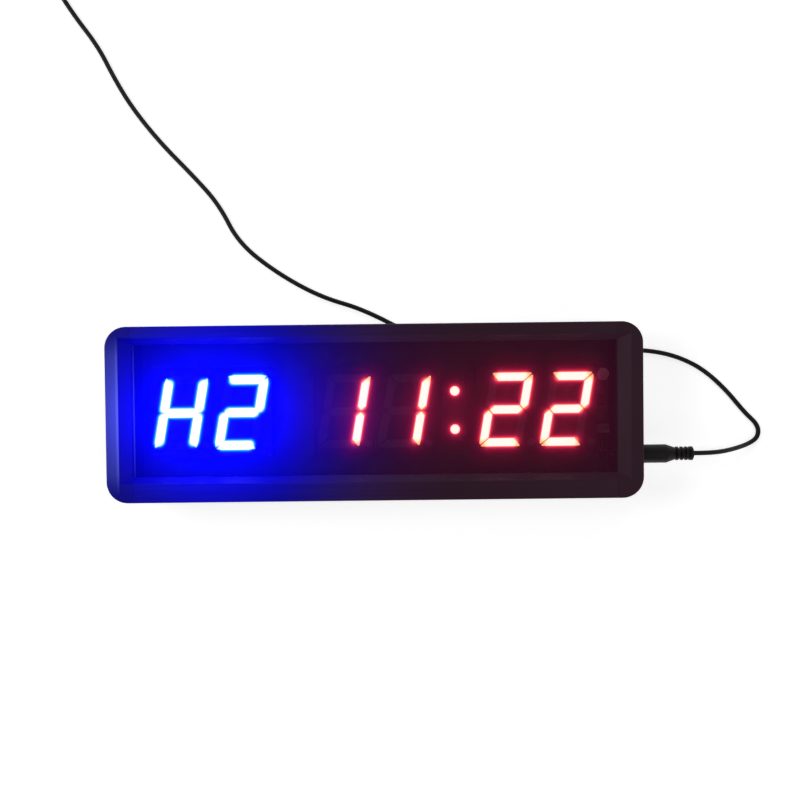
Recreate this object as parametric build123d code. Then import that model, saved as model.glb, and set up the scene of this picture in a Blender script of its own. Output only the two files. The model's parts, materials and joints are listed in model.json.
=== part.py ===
from build123d import *
import math
import os

# Gym round timer, lying on its back on its four rubber feet.
# X runs along the display to the viewer's right, Y up the display, Z out of the display.
# The origin is on the surface, under the middle of the case. All sizes are in millimetres.

# ---------------------------------------------------------------- driving dimensions
case_width = 328.0
case_height = 107.8
case_depth = 35.0
foot_height = 5.0
cap_width = 16.0  # each end cap, along X
corner_radius = 13.0  # outer corners of the end caps, seen from the front
joint_gap = 0.2  # hairline between a rail and an end cap

wall = 1.8
upper_rim = 7.2  # flat front rims
lower_rim = 11.6
side_rim = 7.6
rail_bevel_inset = 3.5  # the bevel between a rail's rim and the window
cap_bevel_inset = 6.9  # and between an end cap's rim and the window
bevel_depth = 6.0
land_depth = 3.5  # straight wall below the bevel, down to the window
front_round = 1.2
edge_round = 0.6

panel_thickness = 2.5
panel_engagement = 3.55  # how far the window reaches into a rail's slot
board_engagement = 6.05
channel_radius = 2.9  # round wall of a rail's screw channel
plate_thickness = 1.5
board_thickness = 1.6
display_depth = 9.0
slot_play = 0.1
screw_radius = 1.5
screw_play = 0.05
foot_inset_x = 7.5
foot_inset_y = 7.7

display_x = -0.6  # middle of the digits
display_y = 0.6
shown = ["bcefg", "abdeg", "bc", "bc", "abdeg", "abdeg"]  # the lit bars spell H 2 1 1 2 2
digit_height = 45.7
digit_width = 26.4
digit_slant = math.radians(10)
segment_width = 5.0
segment_gap = 0.5
segment_chamfer = 1.6
segment_depth = 2.0
digit_pitch = 37.55
pair_pitch = 101.0
shell_half_height = 28.0
point_x = 15.2  # decimal point, from the digit's centre
point_y = -20.3  # and above or below it
point_radius = 2.2
colon_x = 49.7
colon_shell_width = 16.0
colon_shell_height = 40.0
colon_dot_spacing = 23.8
colon_dot_radius = 2.9
pin_radius = 0.3
pin_pitch = 2.54
pins_in_row = 5
pin_row_y = 25.4  # each row of pins, from the digit's middle

keyhole_spacing = 200.0
keyhole_entry_radius = 4.0
keyhole_neck_radius = 2.1
keyhole_rise = 9.0
keyhole_y = 18.0
vent_y = -22.0
vent_group_x = 40.0
vent_pitch = 6.0

chip_width = 7.5
chip_height = 2.3
chip_standoff = 0.15
chip_places = {  # centre x, y and body length of each chip
    "controller": (-30.0, 6.0, 17.8),
    "left_driver": (-100.0, 4.0, 12.8),
    "centre_driver": (0.0, -14.0, 12.8),
    "right_driver": (112.0, 4.0, 12.8),
}
crystal_x = -14.0
crystal_y = 16.0
buzzer_x = 78.0
buzzer_y = -11.0
cell_x = -62.0
cell_y = -18.0
cell_radius = 10.0
cell_thickness = 3.2
converter_y = -34.0
regulator_x = 104.0
inductor_x = 118.0
edge_part_x = 142.2  # receiver, capacitor and connector stand right of the last digit
receiver_y = 6.0
receiver_standoff = 2.0
capacitor_y = 22.0
connector_y = -12.0
connector_half = 2.6

plug_y = -28.4
jack_thread_radius = 4.0
jack_flange_radius = 5.6
jack_flange = 1.2
jack_bore_radius = 3.15
jack_pin_radius = 1.0
jack_tag = 2.5
barrel_length = 9.5
barrel_radius = 2.75
insulator_radius = 2.35
inner_contact_radius = 1.3
spring_thickness = 0.3
grip_length = 35.1
wire_radius = 0.65
wire_offset = 1.6  # each wire's way from the connector's middle

cord_diameter = 3.0
coil_centre = (-192.0, 297.1)
coil_mid_radius = 17.0
coil_layers = 2
coil_turns_per_layer = 4
coil_turns = 7.4  # the lead comes in on one side of the ring and leaves on the other
coil_low = 1.0  # the tie under the coil lifts it this much

adapter_length = 72.0
adapter_width = 40.0
adapter_height = 26.0
adapter_left = -132.0
adapter_y = 303.6
adapter_wall = 2.0
adapter_split = 15.0
adapter_board_top = 6.6
blade_gap = 12.7
blade_length = 17.0
relief_length = 14.0
relief_neck = 3.15  # where the strain relief passes the adapter's wall

# ---------------------------------------------------------------- levels and edges worked out from them
half_width = case_width / 2
half_height = case_height / 2
back_z = foot_height
front_z = back_z + case_depth
rail_end = half_width - cap_width
rim_x = half_width - side_rim
window_x = rim_x - cap_bevel_inset
upper_rim_y = half_height - upper_rim
lower_rim_y = -half_height + lower_rim
window_top = upper_rim_y - rail_bevel_inset
window_bottom = lower_rim_y + rail_bevel_inset
window_mid_y = (window_top + window_bottom) / 2
window_half_height = (window_top - window_bottom) / 2
bevel_z = front_z - bevel_depth
panel_front = bevel_z - land_depth
panel_back = panel_front - panel_thickness
display_front = panel_back - 0.4
board_front = display_front - display_depth
board_back = board_front - board_thickness
segment_floor = display_front - segment_depth
digit_xs = [
    display_x + pair * pair_pitch + side * digit_pitch / 2 for pair in (-1, 0, 1) for side in (-1, 1)
]
lip_top = back_z + 1.4
plate_back = lip_top + slot_play / 2
plate_front = plate_back + plate_thickness
channel_y = half_height - 4.55
channel_front_z = front_z - 4.6
channel_rear_z = back_z + 7.2
plug_z = (back_z + front_z) / 2
jack_back = half_width - 14.5
jack_floor = half_width - barrel_length - 2
plug_face = half_width + 0.15
plug_inner_end = plug_face + 6.0
barrel_tip = half_width - barrel_length
lead_radius = cord_diameter / 2
coil_inner = coil_mid_radius - coil_turns_per_layer * lead_radius
coil_outer = coil_mid_radius + coil_turns_per_layer * lead_radius
coil_top = coil_low + coil_layers * cord_diameter
adapter_z = adapter_height / 2
jack_wall_x = half_width - 3.5
jack_groove_end = half_width - 3.0
cell_seat_z = board_back - 0.8
screw_seat_x = rail_end + 4.0


# ---------------------------------------------------------------- shape helpers
def block(x0, x1, y0, y1, z0, z1):
    """A box between two corners."""
    return Pos((x0 + x1) / 2, (y0 + y1) / 2, (z0 + z1) / 2) * Box(x1 - x0, y1 - y0, z1 - z0)


def rod_x(x0, x1, y, z, radius):
    """A round bar along X."""
    return Pos((x0 + x1) / 2, y, z) * Rot(0, 90, 0) * Cylinder(radius, x1 - x0)


def rod_z(z0, z1, x, y, radius):
    """A round bar along Z."""
    return Pos(x, y, (z0 + z1) / 2) * Cylinder(radius, z1 - z0)


def tube_x(x0, x1, y, z, outer, inner):
    """A sleeve along X."""
    return rod_x(x0, x1, y, z, outer) - rod_x(x0, x1, y, z, inner)


def rect(u0, u1, v0, v1):
    """A flat rectangle between two corners."""
    return Pos((u0 + u1) / 2, (v0 + v1) / 2) * Rectangle(u1 - u0, v1 - v0)


def group(shapes):
    """Separate solids that share one node."""
    return Compound(children=[solid for shape in shapes for solid in shape.solids()])


def save(name, shape):
    """Writes one node."""
    export_step(shape, f"parts/{name}.step")


# ---------------------------------------------------------------- case
def rail_section(rim):
    """Section of the upper extrusion in Y and Z: rim, bevel, slots for window, board and rear plate."""
    inner = half_height - wall
    rim_y = half_height - rim
    edge_y = rim_y - rail_bevel_inset
    lip_y = edge_y + 1.6
    slot_bottom = edge_y + panel_engagement + 0.2
    rib_y = slot_bottom + 0.3
    rib = 1.2
    bevel_wall = 0.9
    board_slot_low = board_back - 2 * slot_play
    board_slot_high = board_front + 2 * slot_play
    bevel = Polygon(
        (rim_y, front_z),
        (edge_y, bevel_z),
        (edge_y, panel_front + slot_play),
        (lip_y, panel_front + slot_play),
        (lip_y, bevel_z - 0.7),
        (rim_y + bevel_wall, front_z - wall),
        (rim_y + bevel_wall, front_z),
        align=None,
    )
    section = bevel
    section += rect(inner, half_height, back_z, front_z)
    section += rect(rim_y, half_height, front_z - wall, front_z)
    section += rect(lip_y, slot_bottom + rib, panel_front + slot_play, panel_front + 1.5)
    section += rect(slot_bottom, slot_bottom + rib, panel_back - 1.5, panel_front + 1.5)
    section += rect(edge_y + 0.8, inner, panel_back - 1.5, panel_back - slot_play)
    section += rect(rib_y, inner, board_slot_high, board_slot_high + rib)
    section += rect(rib_y, inner, board_slot_low - rib, board_slot_low)
    section += rect(rib_y, half_height, back_z, lip_top)
    section += rect(rib_y, inner, plate_front + slot_play, plate_front + slot_play + rib)
    for z in (channel_front_z, channel_rear_z):
        section += Pos(channel_y, z) * Circle(channel_radius)
    for z in (channel_front_z, channel_rear_z):
        section -= Pos(channel_y, z) * Circle(screw_radius + screw_play)
    corner = [v for v in section.vertices() if v.X > half_height - 0.01 and v.Y > front_z - 0.01]
    section = fillet(corner, front_round)
    corner = [v for v in section.vertices() if v.X > half_height - 0.01 and v.Y < back_z + 0.01]
    section = fillet(corner, front_round)
    corner = [v for v in section.vertices() if abs(v.X - rim_y) < 0.01 and v.Y > front_z - 0.01]
    return fillet(corner, edge_round)


def upper_rail(rim):
    """An extrusion between the end caps, as it lies along the upper edge."""
    length = 2 * (rail_end - joint_gap)
    rail = extrude(Plane.YZ * rail_section(rim), length)
    return Pos(-length / 2, 0, 0) * rail


def frame_opening(level, wider, z):
    """Outline of the frame's bevel at one level, this much wider all round, drawn at height z."""
    up = (level - bevel_z) / bevel_depth
    half_x = window_x + up * cap_bevel_inset + wider
    half_y = window_half_height + up * rail_bevel_inset + wider
    return Pos(0, window_mid_y, z) * Rectangle(2 * half_x, 2 * half_y)


def funnel(wider):
    """The space inside the bevelled frame: straight at the window, wider towards the front."""
    top = front_z + 1.0
    land = extrude(frame_opening(bevel_z, wider, panel_front), bevel_z - panel_front)
    return land + loft([frame_opening(bevel_z, wider, bevel_z), frame_opening(top, wider, top)])


def broken_edge():
    """Takes off the edge between the caps' flat rim and their bevel, to meet the rails' rounded one."""
    low = front_z - edge_round / 2
    top = front_z + 1.0
    return loft([frame_opening(low, 0, low), frame_opening(low, 2 * (top - low), top)])


def cap_outline(inset):
    """Outline of the right end cap seen from the front, its outer corners rounded."""
    shape = rect(rail_end, half_width - inset, -half_height + inset, half_height - inset)
    corners = [v for v in shape.vertices() if v.X > rail_end + 0.01]
    return fillet(corners, corner_radius - inset)


def end_cap():
    """Right end cap without the power socket's hole: a shell with four sunk screw bosses."""
    floor = 2.0
    boss_radius = 4.0
    head_room = 3.1
    body = extrude(Pos(0, 0, back_z) * cap_outline(0), case_depth)
    outer_front = [
        e
        for e in body.edges()
        if e.center().Z > front_z - 0.01 and e.center().X > rail_end + 0.01
    ]
    body = fillet(outer_front, front_round)
    outer_back = [
        e
        for e in body.edges()
        if e.center().Z < back_z + 0.01 and e.center().X > rail_end + 0.01
    ]
    body = fillet(outer_back, front_round)
    inside = extrude(Pos(0, 0, back_z + floor) * cap_outline(floor), case_depth - floor - wall)
    cap = body - (inside - funnel(wall)) - funnel(0) - broken_edge()
    for y in (-channel_y, channel_y):
        for z in (channel_front_z, channel_rear_z):
            boss = rod_x(rail_end, half_width, y, z, boss_radius) & body
            cap += boss
    for y in (-channel_y, channel_y):
        for z in (channel_front_z, channel_rear_z):
            cap -= rod_x(screw_seat_x, half_width + 1, y, z, head_room)
            cap -= rod_x(rail_end - 1, screw_seat_x + 1, y, z, screw_radius + screw_play)
    return cap


def right_end_cap():
    """The cap with the power socket: a pad inside the wall, a hole and a seat for the flange."""
    pad_radius = 8.0
    play = 0.1
    cap = end_cap()
    cap += rod_x(jack_wall_x, half_width - 1.5, plug_y, plug_z, pad_radius)
    cap -= rod_x(jack_wall_x - 1, half_width + 1, plug_y, plug_z, jack_thread_radius + play)
    cap -= rod_x(half_width - jack_flange, half_width + 1, plug_y, plug_z, jack_flange_radius + play)
    return cap


def cap_screw(y, z):
    """Cross-headed screw through the right end cap into a rail's channel."""
    head_radius = 2.75
    head_height = 2.0
    length = 16.0
    slot = (2.8, 0.7)
    seat = screw_seat_x
    head = rod_x(seat, seat + head_height, y, z, head_radius)
    head = fillet([e for e in head.edges() if e.center().X > seat + head_height - 0.1], 0.8)
    screw = head + rod_x(seat - length, seat, y, z, screw_radius)
    for wide, tall in (slot, slot[::-1]):
        screw -= block(seat + 0.9, seat + 3, y - wide / 2, y + wide / 2, z - tall / 2, z + tall / 2)
    return screw


def cap_screws():
    """The four screws of one end cap."""
    return [cap_screw(y, z) for y in (-channel_y, channel_y) for z in (channel_front_z, channel_rear_z)]


def front_panel():
    """Tinted window that slides into both rails and stops against the end caps."""
    reach_x = window_x + 1.7
    low_y = window_bottom - panel_engagement
    high_y = window_top + panel_engagement
    return block(-reach_x, reach_x, low_y, high_y, panel_back, panel_front)


def keyhole(x, y):
    """A hanging hole: a round entry with a narrow neck above it."""
    depth = (plate_back - 1, plate_front + 1)
    hole = rod_z(*depth, x, y, keyhole_entry_radius)
    hole += block(x - keyhole_neck_radius, x + keyhole_neck_radius, y, y + keyhole_rise, *depth)
    return hole + rod_z(*depth, x, y + keyhole_rise, keyhole_neck_radius)


def rear_plate():
    """Back sheet in the rails' rear slots, with two hanging holes, vents and the buzzer's sound holes."""
    reach_x = rail_end - joint_gap
    reach_y = half_height - wall - 0.15
    plate = block(-reach_x, reach_x, -reach_y, reach_y, plate_back, plate_front)
    for x in (-keyhole_spacing / 2, keyhole_spacing / 2):
        plate -= keyhole(x, keyhole_y)
    vent_width = 2.0
    vent_length = 22.0
    vents_in_group = 5
    for side in (-1, 1):
        for i in range(vents_in_group):
            x = side * vent_group_x + (i - (vents_in_group - 1) / 2) * vent_pitch
            plate -= block(
                x - vent_width / 2, x + vent_width / 2,
                vent_y - vent_length / 2, vent_y + vent_length / 2,
                plate_back - 1, plate_front + 1,
            )
    sound_hole_radius = 0.9
    sound_ring_radius = 4.0
    sound_places = [(buzzer_x, buzzer_y)]
    for i in range(6):
        turn = 2 * math.pi * i / 6
        x = buzzer_x + sound_ring_radius * math.cos(turn)
        y = buzzer_y + sound_ring_radius * math.sin(turn)
        sound_places.append((x, y))
    for x, y in sound_places:
        plate -= rod_z(plate_back - 1, plate_front + 1, x, y, sound_hole_radius)
    return plate


def rubber_foot(x, y):
    """Stick-on foot, a little narrower at the floor."""
    radius = 4.6
    foot = rod_z(0, back_z, x, y, radius)
    return chamfer([e for e in foot.edges() if e.center().Z < 0.01], 0.8)


def rubber_feet():
    """One foot under each corner."""
    foot_x = half_width - foot_inset_x
    foot_y = half_height - foot_inset_y
    return [rubber_foot(x, y) for x in (-foot_x, foot_x) for y in (-foot_y, foot_y)]


# ---------------------------------------------------------------- display
def slanted(points):
    """Leans a digit's outline to the right as it goes up."""
    lean = math.tan(digit_slant)
    return [(x + y * lean, y) for x, y in points]


def segment_outlines():
    """The seven bars of a digit about its centre, by their usual letters."""
    a = digit_width / 2
    b = digit_height / 2
    t = segment_width
    g = segment_gap
    c = segment_chamfer
    top = [
        (-a + c, b), (a - c, b), (a - (c + g) / 2, b - (c - g) / 2),
        (a - t - g, b - t), (-a + t + g, b - t), (-a + (c + g) / 2, b - (c - g) / 2),
    ]
    upper_right = [
        (a - (c - g) / 2, b - (c + g) / 2), (a, b - c - g), (a, t / 2 + g),
        (a - t / 2, g), (a - t, t / 2 + g), (a - t, b - t - g),
    ]
    middle = [
        (-a + t / 2 + g, 0), (-a + t + g, t / 2), (a - t - g, t / 2),
        (a - t / 2 - g, 0), (a - t - g, -t / 2), (-a + t + g, -t / 2),
    ]
    lower_right = [(x, -y) for x, y in reversed(upper_right)]
    return {
        "a": top,
        "b": upper_right,
        "c": lower_right,
        "d": [(x, -y) for x, y in reversed(top)],
        "e": [(-x, y) for x, y in reversed(lower_right)],
        "f": [(-x, y) for x, y in reversed(upper_right)],
        "g": middle,
    }


def bars(letters, x, top):
    """Bars of one digit, each a thin prism with slightly rounded corners."""
    outlines = segment_outlines()
    solids = []
    for letter in letters:
        face = Polygon(*slanted(outlines[letter]), align=None)
        face = fillet(face.vertices(), 0.35)
        face = Pos(x, display_y, segment_floor) * face
        solids.append(extrude(face, top - segment_floor, dir=(0, 0, 1)))
    return solids


def decimal_point(x, top):
    """Round lens at the foot of one digit."""
    return rod_z(segment_floor, top, x + point_x, display_y + point_y, point_radius)


def digit_shell(x):
    """Housing of one digit, its face pierced by the bars and the point."""
    half = digit_pitch / 2 - 0.1
    low_y = display_y - shell_half_height
    high_y = display_y + shell_half_height
    shell = block(x - half, x + half, low_y, high_y, board_front, display_front)
    for bar in bars("abcdefg", x, display_front + 1):
        shell -= bar
    return shell - decimal_point(x, display_front + 1)


def lit_bars(index):
    """The bars that are lit in one digit."""
    return bars(shown[index], digit_xs[index], display_front)


def unlit_bars(index):
    """The bars and the decimal point that stay dark in one digit."""
    dark = [letter for letter in "abcdefg" if letter not in shown[index]]
    x = digit_xs[index]
    return bars(dark, x, display_front) + [decimal_point(x, display_front)]


def colon_dots(top):
    """The colon's two round lenses, one straight above the other."""
    ys = [display_y + side * colon_dot_spacing / 2 for side in (-1, 1)]
    return [rod_z(segment_floor, top, colon_x, y, colon_dot_radius) for y in ys]


def colon_shell():
    """Housing of the colon between the fourth and fifth digits."""
    half_x = colon_shell_width / 2
    half_y = colon_shell_height / 2
    shell = block(
        colon_x - half_x, colon_x + half_x, display_y - half_y, display_y + half_y,
        board_front, display_front,
    )
    for dot in colon_dots(display_front + 1):
        shell -= dot
    return shell


def pin_places():
    """Five pins above and five below each digit's middle."""
    return [
        (x + (i - (pins_in_row - 1) / 2) * pin_pitch, display_y + row)
        for x in digit_xs
        for row in (-pin_row_y, pin_row_y)
        for i in range(pins_in_row)
    ]


def display_pins():
    """The digits' pins, through the board."""
    return [rod_z(board_back - 1.5, board_front, x, y, pin_radius) for x, y in pin_places()]


# ---------------------------------------------------------------- electronics
def main_board():
    """Circuit board that slides into the rails' middle slots."""
    reach_x = rail_end - 1.0
    low_y = window_bottom - board_engagement
    high_y = window_top + board_engagement
    board = block(-reach_x, reach_x, low_y, high_y, board_back, board_front)
    hole_radius = pin_radius + 0.1
    return board - [rod_z(board_back - 1, board_front + 1, x, y, hole_radius) for x, y in pin_places()]


def chip_body(x, y, length):
    """Moulded body of one chip, with its pin-one dimple."""
    low = board_back - chip_standoff - chip_height
    x0, x1 = x - length / 2, x + length / 2
    y0, y1 = y - chip_width / 2, y + chip_width / 2
    body = block(x0, x1, y0, y1, low, low + chip_height)
    body = chamfer([e for e in body.edges() if e.center().Z < low + 0.01], 0.25)
    return body - rod_z(low - 1, low + 0.2, x0 + 1.5, y0 + 1.5, 0.5)


def chip_legs(x, y, length):
    """Both rows of gull-wing legs of one chip."""
    pitch = 1.27
    half = 0.2
    knee_in, knee_out, toe = 0.3, 0.5, 1.4  # from the chip's side
    drop = 1.4
    count = int(length / pitch) - 1
    legs = []
    for i in range(count):
        leg_x = x + (i - (count - 1) / 2) * pitch
        for side in (-1, 1):
            near = y + side * chip_width / 2
            shoulder_ys = sorted((near, near + side * knee_out))
            knee_ys = sorted((near + side * knee_in, near + side * knee_out))
            foot_ys = sorted((near + side * knee_in, near + side * toe))
            leg_xs = (leg_x - half, leg_x + half)
            low = board_back - drop
            leg = block(*leg_xs, *shoulder_ys, low, low + 0.25)
            leg += block(*leg_xs, *knee_ys, low, board_back)
            leg += block(*leg_xs, *foot_ys, board_back - 0.2, board_back)
            legs.append(leg)
    return legs


def clock_crystal():
    """Cylindrical clock crystal lying beside the controller."""
    radius = 1.5
    return rod_x(crystal_x, crystal_x + 8.0, crystal_y, board_back - radius - 0.05, radius)


def cell_holder():
    """Open plastic ring for the coin cell."""
    x, y = cell_x, cell_y
    low = board_back - 4.2
    ring = rod_z(low, board_back, x, y, cell_radius + 1.8)
    ring -= rod_z(low - 1, cell_seat_z, x, y, cell_radius + 0.15)
    opening = 12.0
    return ring - block(x - opening / 2, x + opening / 2, y - 13, y, low - 1, cell_seat_z)


def coin_cell():
    """Twenty millimetre backup cell."""
    low = cell_seat_z - cell_thickness
    cell = rod_z(low, cell_seat_z, cell_x, cell_y, cell_radius)
    return fillet([e for e in cell.edges() if e.center().Z < low + 0.1], 0.4)


def buzzer():
    """Round sounder with its sound hole towards the back."""
    low = board_back - 7.5
    body = rod_z(low, board_back, buzzer_x, buzzer_y, 6.0)
    body = fillet([e for e in body.edges() if e.center().Z < low + 0.1], 0.4)
    return body - rod_z(low - 1, low + 2.0, buzzer_x, buzzer_y, 1.1)


def power_inductor():
    """Shielded square inductor of the voltage converter."""
    size = 7.0
    low = board_back - 4.5
    body = block(inductor_x, inductor_x + size, converter_y, converter_y + size, low, board_back)
    body = fillet(body.edges().filter_by(Axis.Z), 1.2)
    return chamfer([e for e in body.edges() if e.center().Z < low + 0.1], 0.4)


def voltage_regulator():
    """Converter chip with its metal tab."""
    width = 6.6
    height = 6.0
    x, y = regulator_x, converter_y
    body = block(x, x + width, y, y + height, board_back - 2.3, board_back)
    tab = block(x + 0.6, x + width - 0.6, y + height, y + height + 2.2, board_back - 0.9, board_back)
    return body + tab


def smoothing_capacitor():
    """Round can standing on the front of the board, right of the last digit."""
    x, y = edge_part_x, capacitor_y
    top = board_front + 8.4
    vent = (5.0, 0.35)
    can = rod_z(board_front, top, x, y, 4.0)
    can = fillet([e for e in can.edges() if e.center().Z > top - 0.1], 0.5)
    for wide, tall in (vent, vent[::-1]):
        can -= block(x - wide / 2, x + wide / 2, y - tall / 2, y + tall / 2, top - 0.2, top + 1)
    return can


def infrared_receiver():
    """Remote-control receiver: a flat body with a domed lens towards the window."""
    x, y = edge_part_x, receiver_y
    low = board_front + receiver_standoff
    top = low + 3.0
    body = block(x - 3, x + 3, y - 3.5, y + 3.5, low, top)
    dome = Pos(x, y, top) * Sphere(2.3)
    return body + (dome & block(x - 3, x + 3, y - 3, y + 3, top - 0.5, top + 3))


def receiver_legs():
    """Three legs of the receiver."""
    x = edge_part_x
    return [
        block(x - 0.3, x + 0.3, y - 0.3, y + 0.3, board_front, board_front + receiver_standoff)
        for y in (receiver_y - pin_pitch, receiver_y, receiver_y + pin_pitch)
    ]


# ---------------------------------------------------------------- power socket
def jack_body():
    """Socket body: a flange sunk in the wall, a threaded barrel and the bore for the plug."""
    body = rod_x(half_width - jack_flange, half_width, plug_y, plug_z, jack_flange_radius)
    body += rod_x(jack_back, half_width - jack_flange, plug_y, plug_z, jack_thread_radius)
    body -= rod_x(jack_floor, half_width + 1, plug_y, plug_z, jack_bore_radius)
    body -= rod_x(jack_back - 1, jack_floor + 1, plug_y, plug_z, jack_pin_radius)
    low = plug_z - jack_bore_radius - spring_thickness
    return body - block(jack_floor, jack_groove_end, plug_y - 0.9, plug_y + 0.9, low, plug_z - 2.9)


def jack_pin():
    """Centre pin, its tail sticking out behind the body as a solder tag."""
    return rod_x(jack_back - jack_tag, half_width - 1.5, plug_y, plug_z, jack_pin_radius)


def jack_spring():
    """Leaf that touches the plug's sleeve, in its groove in the bore."""
    low = plug_z - jack_bore_radius - spring_thickness
    x1 = jack_groove_end - 0.2
    return block(jack_floor, x1, plug_y - 0.8, plug_y + 0.8, low, low + spring_thickness)


def jack_nut():
    """Thin hexagonal nut on the inside of the wall."""
    thickness = 2.0
    x0 = jack_wall_x - thickness
    nut = extrude(Plane.YZ * RegularPolygon(5.8, 6), thickness)
    nut = Pos(x0, plug_y, plug_z) * nut
    return nut - rod_x(x0 - 1, jack_wall_x + 1, plug_y, plug_z, jack_thread_radius)


def wire_connector():
    """Two-pole plug-in connector on the front of the board."""
    x, y = edge_part_x, connector_y
    half_x = 3.9
    top = board_front + 6.0
    body = block(x - half_x, x + half_x, y - connector_half, y + connector_half, board_front, top)
    return body - block(x - half_x + 0.8, x + half_x - 0.8, y - 1.0, y + 2.0, top - 2.5, top + 1)


def internal_wire(start, x):
    """An insulated wire from the socket to the connector, its ends square to both."""
    end_z = board_front + 2.2
    path = FilletPolyline(
        start,
        (x, start[1], start[2]),
        (x, start[1] + 7.0, end_z),
        (x, connector_y - connector_half, end_z),
        radius=[2.2, 3.0],
    )
    section = Plane(origin=path @ 0, z_dir=path % 0) * Circle(wire_radius)
    return sweep(section, path=path)


def black_wire():
    """From the end of the centre pin."""
    return internal_wire((jack_back - jack_tag, plug_y, plug_z), edge_part_x + wire_offset)


def red_wire():
    """From the leaf's tag on the back of the socket."""
    return internal_wire((jack_back, plug_y + 2.2, plug_z + 1.8), edge_part_x - wire_offset)


# ---------------------------------------------------------------- plug on the lead
def plug_overmould():
    """Round moulded grip that tapers to a ribbed strain relief and a collar."""
    grip = 5.8
    neck = 3.2
    rib = 4.3
    outline = [(0.0, 0.0), (0.0, grip - 0.3), (0.3, grip), (18.2, grip), (18.9, grip - 0.25)]
    outline += [(23.6, 3.9), (24.4, neck)]
    for x in (25.1, 28.0, 30.8):
        outline += [(x - 0.7, neck), (x - 0.5, rib), (x + 0.5, rib), (x + 0.7, neck)]
    outline += [(32.5, neck), (32.8, rib), (34.6, rib + 0.1)]
    outline += [(grip_length, 3.6), (grip_length, 0.0)]
    face = Plane.XZ * Polygon(*outline, align=None)
    body = Pos(plug_face, plug_y, plug_z) * revolve(face, Axis.X)
    return body - rod_x(plug_face - 1, plug_inner_end, plug_y, plug_z, barrel_radius)


def plug_barrel():
    """Outer contact sleeve."""
    return tube_x(barrel_tip, plug_inner_end, plug_y, plug_z, barrel_radius, insulator_radius)


def plug_insulator():
    """Plastic sleeve between the two contacts."""
    return tube_x(
        barrel_tip + 0.2, plug_inner_end, plug_y, plug_z, insulator_radius, inner_contact_radius
    )


def plug_inner_contact():
    """Inner contact that takes the centre pin."""
    bore = jack_pin_radius + 0.05
    return tube_x(barrel_tip + 0.4, plug_inner_end, plug_y, plug_z, inner_contact_radius, bore)


# ---------------------------------------------------------------- lead
lead_route = [
    (plug_face + grip_length, plug_y, plug_z),
    (209.0, plug_y, plug_z),
    (220.8, -27.9, 17.4),
    (232.8, -26.3, 9.6),
    (242.9, -23.9, 3.8),
    (249.3, -19.8, 1.9),
    (249.4, -12.2, 1.5),
    (240.4, -3.7, 1.5),
    (228.5, 11.0, 1.5),
    (214.4, 24.0, 1.5),
    (200.1, 31.8, 1.5),
    (184.0, 36.5, 1.5),
    (164.0, 38.1, 1.5),
    (135.0, 38.6, 1.5),
    (95.0, 40.2, 1.5),
    (55.0, 44.2, 1.5),
    (24.1, 49.1, 1.5),
    (-7.7, 66.2, 1.5),
    (-35.2, 74.4, 1.5),
    (-63.2, 90.1, 1.5),
    (-88.3, 110.1, 1.5),
    (-100.6, 135.2, 1.5),
    (-117.6, 154.4, 1.5),
    (-137.9, 175.3, 1.5),
    (-155.7, 197.8, 1.5),
    (-167.2, 217.2, 1.5),
    (-177.4, 238.0, 1.5),
    (-192.0, 257.4, 1.5),
    (-202.0, 273.2, 1.8),
    (-210.6, 286.2, 2.5),
]
tail_route = [
    (-181.2, 315.7, 5.5),
    (-172.5, 310.8, 5.6),
    (-163.6, 305.7, 8.2),
    (-155.2, adapter_y, adapter_z),
    (adapter_left - relief_length, adapter_y, adapter_z),
]


def run_lengths(points):
    """Lengths of a route's straight runs."""
    return [(Vector(*b) - Vector(*a)).length for a, b in zip(points, points[1:])]


def arc_radii(points):
    """The largest arc that each corner's two runs allow, with some straight left over."""
    runs = run_lengths(points)
    radii = []
    for i in range(1, len(points) - 1):
        before = Vector(*points[i]) - Vector(*points[i - 1])
        after = Vector(*points[i + 1]) - Vector(*points[i])
        half_turn = math.radians(before.get_angle(after)) / 2
        radii.append(0.45 * min(runs[i - 1], runs[i]) / math.tan(half_turn))
    return radii


def lead_tube(name, points):
    """A stretch of the lead: straight runs joined by tangent arcs. Prints its measures."""
    radii = arc_radii(points)
    path = FilletPolyline(*points, radius=radii)
    section = Plane(origin=path @ 0, z_dir=path % 0) * Circle(lead_radius)
    tube = sweep(section, path=path)
    volume_ratio = tube.volume / (math.pi * lead_radius**2 * path.length)
    print(name, "length", round(path.length, 1), "volume ratio", round(volume_ratio, 4))
    print(name, "runs", [round(run, 1) for run in run_lengths(points)])
    print(name, "radii", [round(radius, 1) for radius in radii])
    return tube, path.length


def lead_coil():
    """Outer shape of the put-away length: a flat ring of turns side by side in two layers."""
    x, y = coil_centre
    ring = rod_z(coil_low, coil_top, x, y, coil_outer)
    return ring - rod_z(coil_low - 1, coil_top + 1, x, y, coil_inner)


def coil_tie():
    """Strap closed round the coil's bundle."""
    x, y = coil_centre
    strap = 0.8
    play = 0.1
    half_strap = 3.5
    low_y = y + math.sqrt(coil_inner**2 - half_strap**2) - play
    high_y = y + coil_outer + play
    low_z = coil_low - play
    high_z = coil_top + play
    outer = block(
        x - half_strap, x + half_strap, low_y - strap, high_y + strap, low_z - strap, high_z + strap
    )
    outer = fillet(outer.edges().filter_by(Axis.X), 0.8)
    space = block(x - half_strap - 1, x + half_strap + 1, low_y, high_y, low_z, high_z)
    return outer - space


# ---------------------------------------------------------------- wall adapter
def adapter_body(low, high, inset):
    """A slab of the adapter's rounded outline."""
    length = adapter_length - 2 * inset
    width = adapter_width - 2 * inset
    outline = RectangleRounded(length, width, 6.0 - inset)
    centre_x = adapter_left + adapter_length / 2
    return extrude(Pos(centre_x, adapter_y, low) * outline, high - low)


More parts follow.
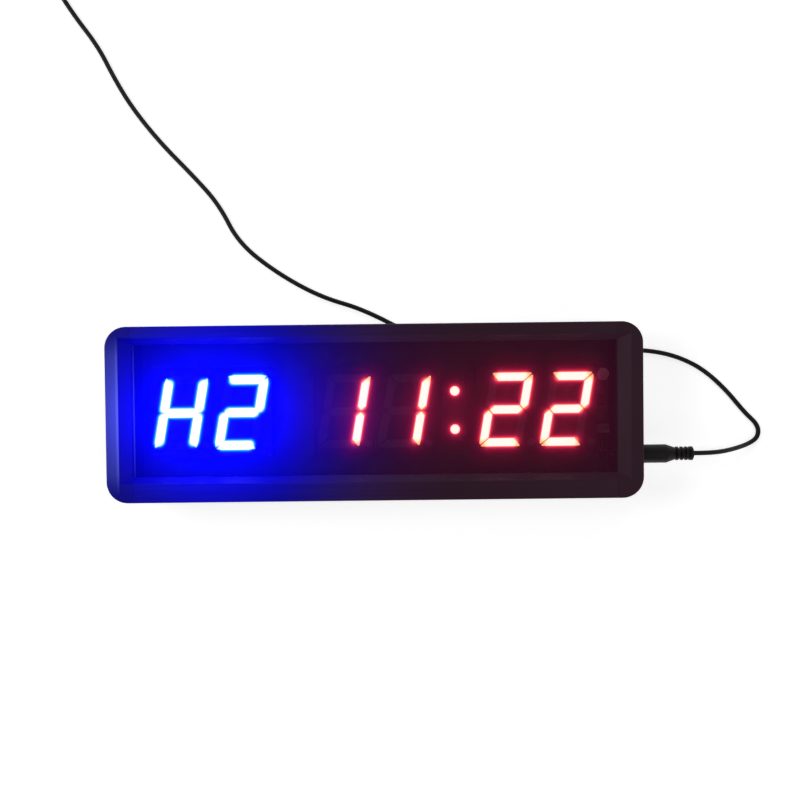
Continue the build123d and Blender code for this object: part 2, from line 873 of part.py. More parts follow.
def adapter_front():
    """Half shell away from the wall socket, lying on its face."""
    shell = adapter_body(0, adapter_split, 0)
    shell = fillet([e for e in shell.edges() if e.center().Z < 0.01], 2.0)
    shell -= adapter_body(adapter_wall, adapter_split + 1, adapter_wall)
    return shell - relief_seat()


def adapter_back():
    """Half shell with the blades' slots."""
    shell = adapter_body(adapter_split + 0.1, adapter_height, 0)
    shell = fillet([e for e in shell.edges() if e.center().Z > adapter_height - 0.01], 1.2)
    shell -= adapter_body(adapter_split - 1, adapter_height - adapter_wall, adapter_wall)
    for blade in blades():
        shell -= blade
    return shell - relief_seat()


def blades():
    """Two flat contact blades, each with the usual hole near its tip."""
    half_blade = 3.15
    half_thickness = 0.75
    x = adapter_left + adapter_length - 24.0
    low = adapter_height - 6.0
    high = adapter_height + blade_length
    made = []
    for side in (-1, 1):
        y = adapter_y + side * blade_gap / 2
        blade = block(x - half_blade, x + half_blade, y - half_thickness, y + half_thickness, low, high)
        tip = [e for e in blade.edges().filter_by(Axis.Y) if e.center().Z > high - 1]
        blade = chamfer(tip, 1.4)
        hole = Pos(x, y, high - 5.0) * Rot(90, 0, 0) * Cylinder(1.5, 3)
        made.append(blade - hole)
    return made


def relief_seat():
    """Round hole in the end wall for the strain relief."""
    radius = relief_neck + 0.05
    return rod_x(adapter_left - 1, adapter_left + adapter_wall + 1, adapter_y, adapter_z, radius)


def adapter_strain_relief():
    """Tapered sleeve with grooves where the lead leaves the adapter."""
    tip_radius = 2.4
    end_radius = 4.2
    grooves = 4
    outline = [(0.0, 0.0), (0.0, tip_radius)]
    for i in range(grooves):
        x = 2.2 + i * 2.6
        radius = tip_radius + 0.1 + 1.3 * x / relief_length
        groove = radius - 0.6
        outline += [(x, radius), (x + 0.1, groove), (x + 0.9, groove), (x + 1.0, radius)]
    seat_x = relief_length - 0.1
    end_x = relief_length + adapter_wall + 1.5
    outline += [(seat_x, end_radius), (seat_x, relief_neck), (end_x, relief_neck), (end_x, 0.0)]
    sleeve = revolve(Plane.XZ * Polygon(*outline, align=None), Axis.X)
    return Pos(adapter_left - relief_length, adapter_y, adapter_z) * sleeve


def adapter_board():
    """Circuit board inside the adapter."""
    left = adapter_left + 6.0
    half = 17.0
    low = adapter_board_top - board_thickness
    return block(left, left + 60.0, adapter_y - half, adapter_y + half, low, adapter_board_top)


def adapter_transformer():
    """Wound transformer on the adapter's board."""
    left = adapter_left + 20.0
    half = 9.0
    top = adapter_board_top + 13.0
    core = block(left, left + 19.0, adapter_y - half, adapter_y + half, adapter_board_top, top)
    return chamfer(core.edges().filter_by(Axis.Z), 1.5)


# ---------------------------------------------------------------- writing the nodes
def main():
    os.makedirs("parts", exist_ok=True)
    save("top_rail", upper_rail(upper_rim))
    save("bottom_rail", mirror(upper_rail(lower_rim), about=Plane.XZ))
    save("left_end_cap", mirror(end_cap(), about=Plane.YZ))
    save("right_end_cap", right_end_cap())
    save("right_cap_screws", group(cap_screws()))
    save("left_cap_screws", group([mirror(screw, about=Plane.YZ) for screw in cap_screws()]))
    save("front_panel", front_panel())
    save("rear_plate", rear_plate())
    save("rubber_feet", group(rubber_feet()))

    for index, x in enumerate(digit_xs):
        save(f"digit_{index + 1}_shell", digit_shell(x))
        save(f"digit_{index + 1}_lit_segments", group(lit_bars(index)))
    save("unlit_segments", group([bar for i in range(len(digit_xs)) for bar in unlit_bars(i)]))
    save("colon_shell", colon_shell())
    save("colon_lenses", group(colon_dots(display_front)))
    save("display_pins", group(display_pins()))

    save("main_board", main_board())
    save("controller_chip", chip_body(*chip_places["controller"]))
    drivers = [chip_body(*place) for name, place in chip_places.items() if name != "controller"]
    save("driver_chips", group(drivers))
    legs = [leg for place in chip_places.values() for leg in chip_legs(*place)]
    save("component_legs", group(legs + receiver_legs()))
    save("clock_crystal", clock_crystal())
    save("cell_holder", cell_holder())
    save("coin_cell", coin_cell())
    save("buzzer", buzzer())
    save("power_inductor", power_inductor())
    save("voltage_regulator", voltage_regulator())
    save("smoothing_capacitor", smoothing_capacitor())
    save("infrared_receiver", infrared_receiver())

    save("jack_body", jack_body())
    save("jack_pin", jack_pin())
    save("jack_spring", jack_spring())
    save("jack_nut", jack_nut())
    save("wire_connector", wire_connector())
    save("red_wire", red_wire())
    save("black_wire", black_wire())

    save("plug_overmould", plug_overmould())
    save("plug_barrel", plug_barrel())
    save("plug_insulator", plug_insulator())
    save("plug_inner_contact", plug_inner_contact())

    coil = lead_coil()
    lead, lead_length = lead_tube("lead", lead_route)
    tail, tail_length = lead_tube("lead_tail", tail_route)
    coil_length = coil_turns * 2 * math.pi * coil_mid_radius
    print("whole lead", round(lead_length + tail_length + coil_length))
    save("lead", lead - coil)
    save("lead_tail", tail - coil)
    save("lead_coil", coil)
    save("coil_tie", coil_tie())

    save("adapter_front", adapter_front())
    save("adapter_back", adapter_back())
    save("adapter_blades", group(blades()))
    save("adapter_strain_relief", adapter_strain_relief())
    save("adapter_board", adapter_board())
    save("adapter_transformer", adapter_transformer())


main()
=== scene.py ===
"""The looks of the gym round timer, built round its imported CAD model.

Metres, apart from the lead's route and the colour stops, which are in millimetres. X runs along the
display, and Z out of it.
"""

import json
import math

import bpy
from mathutils import Euler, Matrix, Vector


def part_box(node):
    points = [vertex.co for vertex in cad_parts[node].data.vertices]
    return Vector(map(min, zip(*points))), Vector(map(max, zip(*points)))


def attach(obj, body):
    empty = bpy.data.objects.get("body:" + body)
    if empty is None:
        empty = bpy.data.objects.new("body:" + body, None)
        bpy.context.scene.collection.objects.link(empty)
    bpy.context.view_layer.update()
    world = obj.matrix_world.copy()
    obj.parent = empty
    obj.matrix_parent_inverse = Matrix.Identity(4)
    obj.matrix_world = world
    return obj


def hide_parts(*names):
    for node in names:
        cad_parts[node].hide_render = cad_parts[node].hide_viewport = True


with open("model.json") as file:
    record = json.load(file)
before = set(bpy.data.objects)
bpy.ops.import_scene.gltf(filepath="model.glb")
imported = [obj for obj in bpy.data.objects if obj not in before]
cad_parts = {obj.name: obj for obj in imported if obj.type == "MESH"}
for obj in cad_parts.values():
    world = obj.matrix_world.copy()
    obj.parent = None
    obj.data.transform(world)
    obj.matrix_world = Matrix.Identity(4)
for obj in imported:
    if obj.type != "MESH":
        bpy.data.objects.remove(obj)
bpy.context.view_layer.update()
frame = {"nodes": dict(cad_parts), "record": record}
nodes = frame["nodes"]
mm = 0.001

# ---------------------------------------------------------------- sizes shared with the CAD model
display_x = -0.6 * mm
display_y = 0.6 * mm
digit_pitch = 37.55 * mm
pair_pitch = 101.0 * mm
digit_slant = math.tan(math.radians(10))
bar_x = 10.7 * mm  # middle of an upright bar, from the digit's centre
bar_y = 20.35 * mm  # middle of the top bar
colon_x = 49.7 * mm
colon_dot_y = 11.9 * mm
cord_diameter = 3.0 * mm

digit_xs = [
    display_x + pair * pair_pitch + side * digit_pitch / 2 for pair in (-1, 0, 1) for side in (-1, 1)
]
blue_digits = digit_xs[:2]
red_digits = digit_xs[2:]
shown = ["bcefg", "abdeg", "bc", "bc", "abdeg", "abdeg"]  # H 2 1 1 2 2
window_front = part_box("front_panel")[1].z
rim_x = 156.4 * mm  # where an end cap's flat rim meets its bevel
colon_dots = [(colon_x, display_y + side * colon_dot_y, 0) for side in (-1, 1)]

left, right = -bar_x, bar_x
bar_ends = {  # each bar's middle line, from end to end
    "a": ((left, bar_y), (right, bar_y)),
    "b": ((right, bar_y), (right, 0)),
    "c": ((right, 0), (right, -bar_y)),
    "d": ((left, -bar_y), (right, -bar_y)),
    "e": ((left, 0), (left, -bar_y)),
    "f": ((left, bar_y), (left, 0)),
    "g": ((left, 0), (right, 0)),
}


# ---------------------------------------------------------------- the digits' light
# A halo or a core is a list of colours at distances from a lit bar's middle line, in millimetres.
halo_reach = 16.0
core_reach = 6.0
blue_halo = [
    (2.05, (1.0, 1.0, 1.0)),
    (2.55, (0.5, 0.95, 1.0)),
    (3.05, (0.08, 0.65, 1.0)),
    (3.5, (0.0, 0.25, 1.0)),
    (4.2, (0.0, 0.03, 1.0)),
    (5.0, (0.0, 0.0, 1.0)),
    (8.0, (0.0, 0.0, 0.0)),
]
red_halo = [
    (1.9, (0.6, 0.25, 0.08)),
    (2.4, (1.0, 0.2, 0.12)),
    (3.0, (0.8, 0.06, 0.09)),
    (3.6, (0.45, 0.012, 0.04)),
    (4.2, (0.27, 0.005, 0.025)),
    (5.0, (0.12, 0.002, 0.015)),
    (6.2, (0.07, 0.001, 0.010)),
    (7.5, (0.038, 0.0, 0.005)),
    (10.0, (0.015, 0.0, 0.002)),
    (16.0, (0.0, 0.0, 0.0)),
]
blue_core = [(3.0, (1.0, 1.0, 1.0)), (4.5, (0.7, 1.0, 1.0)), (6.0, (0.3, 0.9, 1.0))]
red_core = [
    (2.2, (1.0, 1.0, 1.0)),
    (3.2, (1.0, 0.92, 0.5)),
    (4.4, (1.0, 0.8, 0.25)),
    (6.0, (1.0, 0.62, 0.12)),
]
lit_strength = 2.1

# How far a lit bar's middle line stops short of its ends.
blue_halo_inset = 2.8 * mm  # the blue digits are too bright for their mitred corners to show
red_halo_inset = 3.1 * mm
core_inset = 4.6 * mm

# Light that spreads over the front: its colours, and the distance over which it falls to 1/e.
blue_light = (0.0, 0.0, 1.0)
red_light_on_frame = (1.0, 0.06, 0.16)
red_light_in_window = (1.0, 0.03, 0.09)
blue_reach = 19.0 * mm
red_reach = 12.0 * mm
figure_one_x = 8 * mm  # a figure 1 is lit on its right, so its light centres there
figure_two_y = 11 * mm  # a figure 2 has a light centre above its middle and one below

# Amounts of blue and red light, and the haze that the red digits throw over the right of the front.
rail_spill = (4.4, 0.03)
cap_spill = (3.8, 0.03)
lens_spill = (0.02, 0.05)
window_wash = (3.95, 0.066)
cap_sheen = (0.3, 0.38, 0.75)
# rim_haze, window_haze and lens_haze are painted glow of the red digits' light; rim_haze also paints room
# light on the dark rims.
rim_haze = (0.0185, 0.0060, 0.0120)
window_haze = (0.0195, 0.0030, 0.0105)
lens_haze = (0.020, 0.0075, 0.016)
haze_start_x = -70 * mm
haze_full_x = 10 * mm
window_haze_full_x = 45 * mm


# ---------------------------------------------------------------- shader graphs
class Graph:
    """A node tree with short calls for the nodes used here. A value is a number, a tuple or a socket."""

    def __init__(self, tree):
        self.tree = tree

    def add(self, kind, *values, **settings):
        node = self.tree.nodes.new("ShaderNode" + kind)
        for key, value in settings.items():
            setattr(node, key, value)
        for socket, value in zip(node.inputs, values):
            self.feed(socket, value)
        return node

    def feed(self, socket, value):
        if isinstance(value, bpy.types.NodeSocket):
            self.tree.links.new(value, socket)
        elif value is not None:
            socket.default_value = value

    def math(self, operation, *values, clamp=False):
        node = self.add("Math", *values, operation=operation, use_clamp=clamp)
        return node.outputs[0]

    def vector(self, operation, *values):
        node = self.add("VectorMath", *values, operation=operation)
        gives_number = operation in ("DISTANCE", "LENGTH", "DOT_PRODUCT")
        return node.outputs["Value" if gives_number else "Vector"]

    def total(self, values):
        result = values[0]
        for value in values[1:]:
            result = self.math("ADD", result, value)
        return result

    def coordinates(self):
        return self.add("TexCoord").outputs["Object"]

    def parts(self, vector):
        return self.add("SeparateXYZ", vector).outputs

    def noise(self, scale, detail=3.0, roughness=0.5, stretch=None):
        place = self.coordinates()
        if stretch:
            place = self.vector("MULTIPLY", place, stretch)
        node = self.add("TexNoise", noise_dimensions="3D")
        self.feed(node.inputs["Vector"], place)
        node.inputs["Scale"].default_value = scale
        node.inputs["Detail"].default_value = detail
        node.inputs["Roughness"].default_value = roughness
        return node.outputs[0]

    def range(self, value, from_low, from_high, to_low=0.0, to_high=1.0):
        node = self.add("MapRange", value, from_low, from_high, to_low, to_high)
        return node.outputs[0]

    def mix(self, share, first, second):
        node = self.add("Mix", data_type="RGBA")
        self.feed(node.inputs[0], share)
        self.feed(node.inputs[6], first)
        self.feed(node.inputs[7], second)
        return node.outputs[2]

    def ramp(self, value, stops):
        node = self.add("ValToRGB", value)
        while len(node.color_ramp.elements) < len(stops):
            node.color_ramp.elements.new(0.5)
        for element, (place, colour) in zip(node.color_ramp.elements, stops):
            element.position = place
            element.color = (*colour, 1)
        return node.outputs[0]

    def bump(self, height, distance):
        node = self.add("Bump")
        node.inputs["Strength"].default_value = 1.0
        node.inputs["Distance"].default_value = distance
        self.feed(node.inputs["Height"], height)
        return node.outputs[0]

    def scaled(self, vector, amount):
        """A vector or a colour times a number."""
        return self.vector("SCALE", vector, None, None, amount)


def group_graph(name, outputs):
    """An empty node group with these number outputs, its graph and its output node."""
    tree = bpy.data.node_groups.new(name, "ShaderNodeTree")
    for output in outputs:
        tree.interface.new_socket(output, in_out="OUTPUT", socket_type="NodeSocketFloat")
    graph = Graph(tree)
    return tree, graph, tree.nodes.new("NodeGroupOutput")


def flat_place(graph):
    """A point's place with Z taken out, and its X and Y."""
    x, y, _ = graph.parts(graph.coordinates())
    return graph.add("CombineXYZ", x, y, 0.0).outputs[0], x, y


def lit_bar_distance(name, xs, letters_of, inset, dots=()):
    """A group that gives the distance to the nearest lit bar's middle line, in millimetres."""
    tree, graph, result = group_graph(name, ["Distance"])
    place, x, y = flat_place(graph)
    y = graph.math("SUBTRACT", y, display_y)
    straight_x = graph.math("SUBTRACT", x, graph.math("MULTIPLY", y, digit_slant))
    upright = graph.add("CombineXYZ", straight_x, y, 0.0).outputs[0]
    nearest = None
    for digit_x, letters in zip(xs, letters_of):
        for letter in letters:
            (x0, y0), (x1, y1) = bar_ends[letter]
            start = Vector((digit_x + x0, y0, 0))
            along = Vector((x1 - x0, y1 - y0, 0))
            unit = along.normalized()
            start = start + unit * inset
            along = along - unit * 2 * inset
            offset = graph.vector("SUBTRACT", upright, tuple(start))
            reached = graph.vector("DOT_PRODUCT", offset, tuple(along))
            share = graph.math("DIVIDE", reached, along.length_squared, clamp=True)
            foot = graph.scaled(tuple(along), share)
            distance = graph.vector("DISTANCE", offset, foot)
            nearest = distance if nearest is None else graph.math("MINIMUM", nearest, distance)
    for dot in dots:
        distance = graph.vector("DISTANCE", place, dot)
        nearest = graph.math("MINIMUM", nearest, distance)
    graph.feed(result.inputs[0], graph.math("DIVIDE", nearest, mm))
    return tree


def light_spread():
    """A group that gives how much of the blue and red digits' light reaches a point of the front."""
    tree, graph, result = group_graph("light_spread", ["Blue", "Red"])
    place, _, _ = flat_place(graph)
    blue_centres = [(x, display_y, 0) for x in blue_digits]
    red_centres = [(x + figure_one_x, display_y, 0) for x in red_digits[:2]] + [(colon_x, display_y, 0)]
    red_centres += [(x, display_y + side * figure_two_y, 0) for x in red_digits[2:] for side in (-1, 1)]
    for socket, centres, reach in (
        (result.inputs[0], blue_centres, blue_reach),
        (result.inputs[1], red_centres, red_reach),
    ):
        shares = []
        for centre in centres:
            distance = graph.vector("DISTANCE", place, centre)
            shares.append(graph.math("EXPONENT", graph.math("DIVIDE", distance, -reach)))
        graph.feed(socket, graph.total(shares))
    return tree


spread_group = light_spread()
blue_halo_group = lit_bar_distance("blue_halo_distance", blue_digits, shown[:2], blue_halo_inset)
red_halo_group = lit_bar_distance("red_halo_distance", red_digits, shown[2:], red_halo_inset, colon_dots)
blue_core_group = lit_bar_distance("blue_core_distance", blue_digits, shown[:2], core_inset)
red_core_group = lit_bar_distance("red_core_distance", red_digits, shown[2:], core_inset, colon_dots)


def new_material(name):
    material = bpy.data.materials.new(name)
    material.use_nodes = True
    graph = Graph(material.node_tree)
    shader = material.node_tree.nodes["Principled BSDF"]
    return material, graph, shader.inputs


def group_outputs(graph, tree):
    node = graph.tree.nodes.new("ShaderNodeGroup")
    node.node_tree = tree
    return node.outputs


def surface_normal(graph):
    """The surface's direction along X, Y and Z."""
    normal = graph.add("NewGeometry").outputs["Normal"]
    local = graph.add(
        "VectorTransform", normal, vector_type="NORMAL", convert_from="WORLD", convert_to="OBJECT"
    )
    return graph.parts(local.outputs[0])


def light_caught(graph):
    """1 on faces that look out, more on bevels that also look inwards, 0 below the window's front."""
    x, y, z = graph.parts(graph.coordinates())
    normal_x, normal_y, normal_z = surface_normal(graph)
    caught = graph.range(normal_z, 0.05, 0.6)
    steepness = graph.math("SUBTRACT", 1.0, normal_z)
    inward_gain = 0.9
    fade_depth = 2 * mm
    for place, direction in ((x, normal_x), (y, normal_y)):
        outward = graph.math("MULTIPLY", graph.math("SIGN", place), direction)
        inward = graph.math("MAXIMUM", graph.math("MULTIPLY", outward, -inward_gain), 0.0)
        caught = graph.math("ADD", caught, graph.math("MULTIPLY", inward, steepness))
    before_window = graph.range(z, window_front - fade_depth, window_front)
    return graph.math("MULTIPLY", caught, before_window)


def digit_light(graph, amounts, red_light):
    """These amounts of the blue and red digits' light, added up."""
    spread = group_outputs(graph, spread_group)
    blue_amount, red_amount = amounts
    blue = graph.scaled(blue_light, graph.math("MULTIPLY", spread["Blue"], blue_amount))
    red = graph.scaled(red_light, graph.math("MULTIPLY", spread["Red"], red_amount))
    return graph.vector("ADD", blue, red)


def spilled_light(graph, amounts):
    """The digits' light as it shows on a surface of the front."""
    return graph.scaled(digit_light(graph, amounts, red_light_on_frame), light_caught(graph))


def flat_sheen(graph, colour):
    """A painted sheen: a paler haze that the blue light leaves on the flat upright of the rim, with a painted
    highlight strongest at its inner edge.
    """
    x, y, _ = graph.parts(graph.coordinates())
    x = graph.math("ABSOLUTE", x)
    y = graph.math("ABSOLUTE", y)
    on_the_flat = graph.range(surface_normal(graph)[2], 0.7, 0.85)
    off_the_corners = graph.range(y, 36 * mm, 49 * mm, 1.0, 0.0)
    outside_the_bevel = graph.range(x, rim_x - 0.6 * mm, rim_x - 0.3 * mm)
    # Painted highlight along the rim's inner edge.
    inner_edge_highlight = graph.range(x, rim_x + 0.5 * mm, rim_x + 1.3 * mm, 1.9, 1.0)
    amount = group_outputs(graph, spread_group)["Blue"]
    for share in (on_the_flat, off_the_corners, outside_the_bevel, inner_edge_highlight):
        amount = graph.math("MULTIPLY", amount, share)
    return graph.scaled(colour, amount)


def veil(graph, colour, full_x=haze_full_x):
    """A faint wine-coloured painted glow, the red digits' light, over the right two thirds of the front, full
    from full_x on.
    """
    x = graph.parts(graph.coordinates())[0]
    share = graph.add("MapRange", x, haze_start_x, full_x, 0.0, 1.0, interpolation_type="SMOOTHSTEP")
    return graph.scaled(colour, share.outputs[0])


# ---------------------------------------------------------------- materials, one for each slot of the record
cloud_scale = 60.0
streak_scale = 700.0
drawn_along_x = (0.02, 1, 1)  # stretches the noise into streaks along the rails


def moulded(
    name, colour, roughness, grain_scale, grain_depth,
    light=1.6, gloss=0.5, drawn=None, spill=None, sheen=None,
):
    """A moulded or coated surface: uneven colour, fine grain, and on the front the digits' light."""
    material, graph, shader = new_material(name)
    cloud = graph.noise(streak_scale if drawn else cloud_scale, 4.0, stretch=drawn)
    fine = graph.noise(grain_scale, 2.0)
    pale = tuple(min(1.0, c * light) for c in colour)
    graph.feed(shader["Base Color"], graph.mix(graph.range(cloud, 0.3, 0.7), (*colour, 1), (*pale, 1)))
    graph.feed(shader["Roughness"], graph.range(cloud, 0.3, 0.7, roughness - 0.05, roughness + 0.07))
    graph.feed(shader["Normal"], graph.bump(fine, grain_depth))
    shader["Specular IOR Level"].default_value = gloss
    if spill:
        haze = graph.scaled(veil(graph, rim_haze), light_caught(graph))
        glow = graph.vector("ADD", spilled_light(graph, spill), haze)
        if sheen:
            glow = graph.vector("ADD", glow, flat_sheen(graph, sheen))
        graph.feed(shader["Emission Color"], glow)
        shader["Emission Strength"].default_value = 1.0
    return material


def metal(name, colour, roughness):
    """Bare metal with fine drawn streaks."""
    material, graph, shader = new_material(name)
    streak = graph.noise(900.0, 2.0, stretch=(0.08, 1, 1))
    shader["Base Color"].default_value = (*colour, 1)
    shader["Metallic"].default_value = 1.0
    graph.feed(shader["Roughness"], graph.range(streak, 0.3, 0.7, roughness - 0.06, roughness + 0.1))
    graph.feed(shader["Normal"], graph.bump(streak, 0.00001))
    return material


def by_distance(graph, distance_group, stops, reach):
    """The colour at a point's distance from the nearest lit bar's middle line."""
    share = graph.range(group_outputs(graph, distance_group)[0], 0.0, reach)
    return graph.ramp(share, [(distance / reach, colour) for distance, colour in stops])


def tinted_window():
    """Dark acrylic, with the digits' light spread through its back face."""
    material, graph, shader = new_material("tinted_acrylic")
    z = graph.parts(graph.coordinates())[2]
    window_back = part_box("front_panel")[0].z
    skin = 0.4 * mm
    on_back = graph.math("LESS_THAN", z, window_back + skin)
    glow = veil(graph, window_haze, window_haze_full_x)
    for part in (
        by_distance(graph, blue_halo_group, blue_halo, halo_reach),
        by_distance(graph, red_halo_group, red_halo, halo_reach),
        digit_light(graph, window_wash, red_light_in_window),
    ):
        glow = graph.vector("ADD", glow, part)
    graph.feed(shader["Emission Color"], graph.scaled(glow, on_back))
    shader["Emission Strength"].default_value = 1.65  # makes up for the tint that it passes through
    shader["Base Color"].default_value = (0.42, 0.33, 0.37, 1)
    shader["Transmission Weight"].default_value = 1.0
    smear = graph.noise(45.0, 5.0, 0.65)
    graph.feed(shader["Roughness"], graph.range(smear, 0.45, 0.75, 0.02, 0.09))
    shader["IOR"].default_value = 1.49
    return material


def lit(name, distance_group, stops):
    """A lit bar: hot along its middle, coloured towards its ends."""
    material, graph, shader = new_material(name)
    shader["Base Color"].default_value = (0.5, 0.5, 0.5, 1)
    shader["Roughness"].default_value = 0.4
    graph.feed(shader["Emission Color"], by_distance(graph, distance_group, stops, core_reach))
    shader["Emission Strength"].default_value = lit_strength
    return material


def unlit_lens():
    """A dark bar that picks up a little of its neighbours' light."""
    material, graph, shader = new_material("unlit_lens")
    cloud = graph.noise(500.0, 3.0)
    graph.feed(shader["Base Color"], graph.mix(cloud, (0.03, 0.026, 0.03, 1), (0.05, 0.045, 0.05, 1)))
    shader["Roughness"].default_value = 0.35
    # Painted glow: the red digits' haze on the dark lens, made uneven by the cloud noise.
    painted_haze_glow = graph.scaled(veil(graph, lens_haze), graph.range(cloud, 0.2, 0.8, 0.6, 1.2))
    graph.feed(shader["Emission Color"], graph.vector("ADD", spilled_light(graph, lens_spill), painted_haze_glow))
    shader["Emission Strength"].default_value = 1.0
    return material


materials = {
    "black_rail": moulded(
        "black_rail", (0.0045, 0.0035, 0.004), 0.36, 2600.0, 0.00002,
        gloss=0.14, drawn=drawn_along_x, spill=rail_spill,
    ),
    "black_plastic": moulded(
        "black_plastic", (0.005, 0.003, 0.0035), 0.44, 1500.0, 0.00004,
        light=1.25, gloss=0.12, spill=cap_spill, sheen=cap_sheen,
    ),
    "black_steel": metal("black_steel", (0.05, 0.05, 0.055), 0.35),
    "tinted_acrylic": tinted_window(),
    "black_sheet": moulded("black_sheet", (0.018, 0.017, 0.018), 0.5, 1800.0, 0.00004),
    "rubber": moulded("rubber", (0.014, 0.013, 0.013), 0.75, 900.0, 0.00006),
    "shell_black": moulded("shell_black", (0.008, 0.007, 0.008), 0.6, 1500.0, 0.00003),
    "red_lit": lit("red_lit", red_core_group, red_core),
    "blue_lit": lit("blue_lit", blue_core_group, blue_core),
    "unlit_lens": unlit_lens(),
    "tin": metal("tin", (0.75, 0.74, 0.71), 0.3),
    "board_green": moulded("board_green", (0.012, 0.075, 0.028), 0.35, 1200.0, 0.00002),
    "chip_black": moulded("chip_black", (0.018, 0.018, 0.019), 0.55, 2200.0, 0.00003),
    "ferrite": moulded("ferrite", (0.035, 0.035, 0.04), 0.6, 1500.0, 0.00005),
    "can_aluminium": metal("can_aluminium", (0.45, 0.44, 0.45), 0.45),
    "nickel": metal("nickel", (0.72, 0.70, 0.66), 0.22),
    "connector_white": moulded("connector_white", (0.26, 0.25, 0.23), 0.45, 1200.0, 0.00003, light=1.15),
    "wire_red": moulded("wire_red", (0.22, 0.012, 0.012), 0.45, 900.0, 0.00003, light=1.2),
    "cable_black": moulded("cable_black", (0.010, 0.0075, 0.007), 0.5, 1400.0, 0.00005, gloss=0.25),
    "tie_black": moulded("tie_black", (0.02, 0.02, 0.02), 0.4, 1500.0, 0.00003),
    "adapter_black": moulded("adapter_black", (0.018, 0.017, 0.017), 0.5, 1100.0, 0.00008),
    "brass_nickel": metal("brass_nickel", (0.80, 0.76, 0.66), 0.25),
}

slot_of = {row["node"]: row["material_slot"] for row in frame["record"]["subparts"]}
for name, node in nodes.items():
    node.data.materials.clear()
    node.data.materials.append(materials[slot_of[name]])

# ---------------------------------------------------------------- the lead, in millimetres
lead_points = [
    (199.25, -28.4, 22.5), (209, -28.4, 22.5), (220.8, -27.9, 17.4), (232.8, -26.3, 9.6), (242.9, -23.9, 3.8),
    (249.3, -19.8, 1.9), (249.4, -12.2, 1.5), (240.4, -3.7, 1.5), (228.5, 11.0, 1.5), (214.4, 24.0, 1.5),
    (200.1, 31.8, 1.5), (184, 36.5, 1.5), (164, 38.1, 1.5), (135, 38.6, 1.5), (95, 40.2, 1.5),
    (55, 44.2, 1.5), (24.1, 49.1, 1.5), (-7.7, 66.2, 1.5), (-35.2, 74.4, 1.5), (-63.2, 90.1, 1.5),
    (-88.3, 110.1, 1.5), (-100.6, 135.2, 1.5), (-117.6, 154.4, 1.5), (-137.9, 175.3, 1.5),
    (-155.7, 197.8, 1.5), (-167.2, 217.2, 1.5), (-177.4, 238.0, 1.5), (-192, 257.4, 1.5),
    (-202, 273.2, 1.8), (-210.6, 286.2, 2.5),
]
tail_points = [
    (-181.2, 315.7, 5.5), (-172.5, 310.8, 5.6), (-163.6, 305.7, 8.2), (-155.2, 303.6, 13), (-146, 303.6, 13),
]
coil_centre = (-192.0, 297.1)
coil_radius = 21.5  # of the outermost turn's middle line
coil_spacing = 3.0
coil_rings = 4  # turns side by side in each of its two layers
coil_lower_z = 2.5
coil_upper_z = 5.5
coil_steps = 16  # points in each turn
entry_angle = 214
exit_angle = 60
shift = 60  # degrees that the lead takes to move to the next ring or layer


def eased(share):
    """0 up to 0, 1 from 1 on, and smooth between them."""
    share = min(max(share, 0.0), 1.0)
    return share * share * (3 - 2 * share)


def coil_points():
    """7.4 turns: inwards ring by ring on the floor, a step up, and outwards on top of those."""
    turned = entry_angle - exit_angle + 360 * (2 * coil_rings - 1)
    innermost = coil_rings - 1
    climb_from = 360 * innermost + 270
    outwards_from = 360 * coil_rings + 90
    count = round(turned / 360 * coil_steps)
    points = []
    for i in range(1, count):
        travel = turned * i / count
        turn, at = divmod(travel, 360)
        if travel < 360 * innermost:
            ring = turn + eased((at - 300) / shift)
        elif travel < outwards_from:
            ring = innermost
        else:
            ring = innermost - (turn - coil_rings) - eased((at - 210) / shift)
        ring = min(max(ring, 0), innermost)
        rise = eased((travel - climb_from) / shift)
        z = coil_lower_z + (coil_upper_z - coil_lower_z) * rise
        angle = math.radians(entry_angle - travel)
        reach = (coil_radius - coil_spacing * ring) / math.cos(math.pi / coil_steps)
        x = coil_centre[0] + reach * math.cos(angle)
        y = coil_centre[1] + reach * math.sin(angle)
        points.append((x, y, z))
    return points


def make_lead():
    route = lead_points + coil_points() + tail_points
    curve = bpy.data.curves.new("power_lead_cord", "CURVE")
    curve.dimensions = "3D"
    curve.resolution_u = 8
    curve.bevel_depth = cord_diameter / 2
    curve.bevel_resolution = 6
    curve.use_fill_caps = True
    spline = curve.splines.new("NURBS")
    spline.points.add(len(route) - 1)
    for point, place in zip(spline.points, route):
        point.co = (*(value * mm for value in place), 1)
    spline.order_u = 3
    spline.use_endpoint_u = True
    lead = bpy.data.objects.new("power_lead_cord", curve)
    bpy.context.scene.collection.objects.link(lead)
    curve.materials.append(materials["cable_black"])
    return lead


lead = make_lead()
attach(lead, "power_lead")
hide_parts("lead", "lead_coil", "lead_tail")


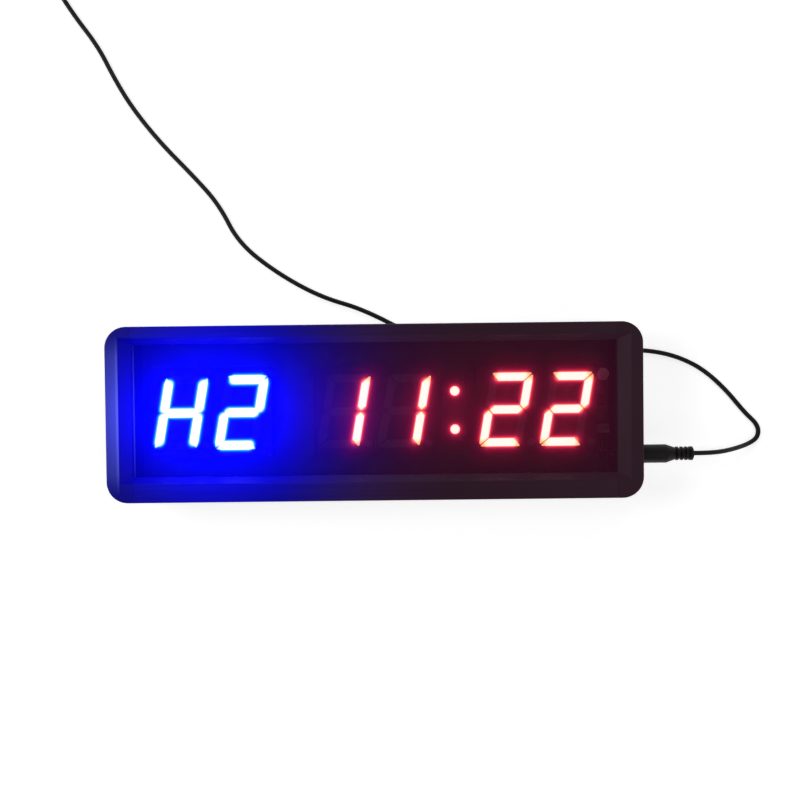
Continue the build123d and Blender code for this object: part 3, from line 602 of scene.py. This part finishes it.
# ---------------------------------------------------------------- floor, light and camera
def make_floor():
    mesh = bpy.data.meshes.new("floor")
    half = 30.0
    corners = [(-half, -half, 0), (half, -half, 0), (half, half, 0), (-half, half, 0)]
    mesh.from_pydata(corners, [], [(0, 1, 2, 3)])
    floor = bpy.data.objects.new("floor", mesh)
    bpy.context.scene.collection.objects.link(floor)
    material, graph, shader = new_material("floor_pale")
    cloud = graph.noise(3.0, 2.0)
    graph.feed(shader["Base Color"], graph.mix(cloud, (0.86, 0.86, 0.86, 1), (0.88, 0.88, 0.88, 1)))
    shader["Roughness"].default_value = 0.9
    shader["Specular IOR Level"].default_value = 0.1
    shader["Emission Color"].default_value = (1, 1, 1, 1)
    shader["Emission Strength"].default_value = 0.72
    mesh.materials.append(material)


def make_area_light(name, location, target, size, power):
    light = bpy.data.lights.new(name, "AREA")
    light.shape = "DISK"
    light.size = size
    light.energy = power
    thing = bpy.data.objects.new(name, light)
    thing.location = location
    thing.rotation_euler = (Vector(target) - Vector(location)).to_track_quat("-Z", "Y").to_euler()
    bpy.context.scene.collection.objects.link(thing)


def make_world():
    """Pale at the horizon and dim overhead, most of all to the right, so that the front reflects little."""
    world = bpy.data.worlds.new("studio")
    bpy.context.scene.world = world
    world.use_nodes = True
    graph = Graph(world.node_tree)
    across, _, height = graph.parts(graph.add("TexCoord").outputs["Generated"])
    horizon = graph.range(height, 0.08, 0.25, 0.75, 0.0)
    overhead = graph.range(height, 0.4, 0.85, 0.22, 0.03)
    overhead = graph.math("MULTIPLY", overhead, graph.range(across, -1.0, 1.0, 1.0, 0.2))
    shade = graph.math("ADD", horizon, overhead)
    background = world.node_tree.nodes["Background"]
    graph.feed(background.inputs["Color"], graph.scaled((1.0, 1.0, 1.0), shade))


def make_camera():
    """Almost straight above the display, at the photograph's viewing angle."""
    location = (0.01596, 0.01678, 0.55668)
    turned = (-1.036, 0.034, -0.652)  # degrees
    data = bpy.data.cameras.new("camera")
    data.lens = 38.25
    data.sensor_width = 36.0
    data.clip_start = 0.01
    data.clip_end = 50.0
    camera = bpy.data.objects.new("camera", data)
    camera.rotation_mode = "ZYX"
    camera.location = location
    camera.rotation_euler = Euler([math.radians(angle) for angle in turned], "ZYX")
    bpy.context.scene.collection.objects.link(camera)
    bpy.context.scene.camera = camera


make_floor()
make_area_light("key", (-0.75, 0.15, 0.75), (0, 0, 0), size=0.5, power=2.6)
make_area_light("fill", (0.7, -0.5, 0.7), (0, 0, 0), size=0.6, power=1.1)
make_area_light("back", (0.1, 0.85, 0.7), (0, 0, 0), size=0.6, power=1.3)
make_area_light("edge", (0.86, 0.0, 1.5), (-0.15, 0, 0), size=0.3, power=2.0)
make_world()
make_camera()
bpy.context.scene.view_settings.view_transform = "Standard"
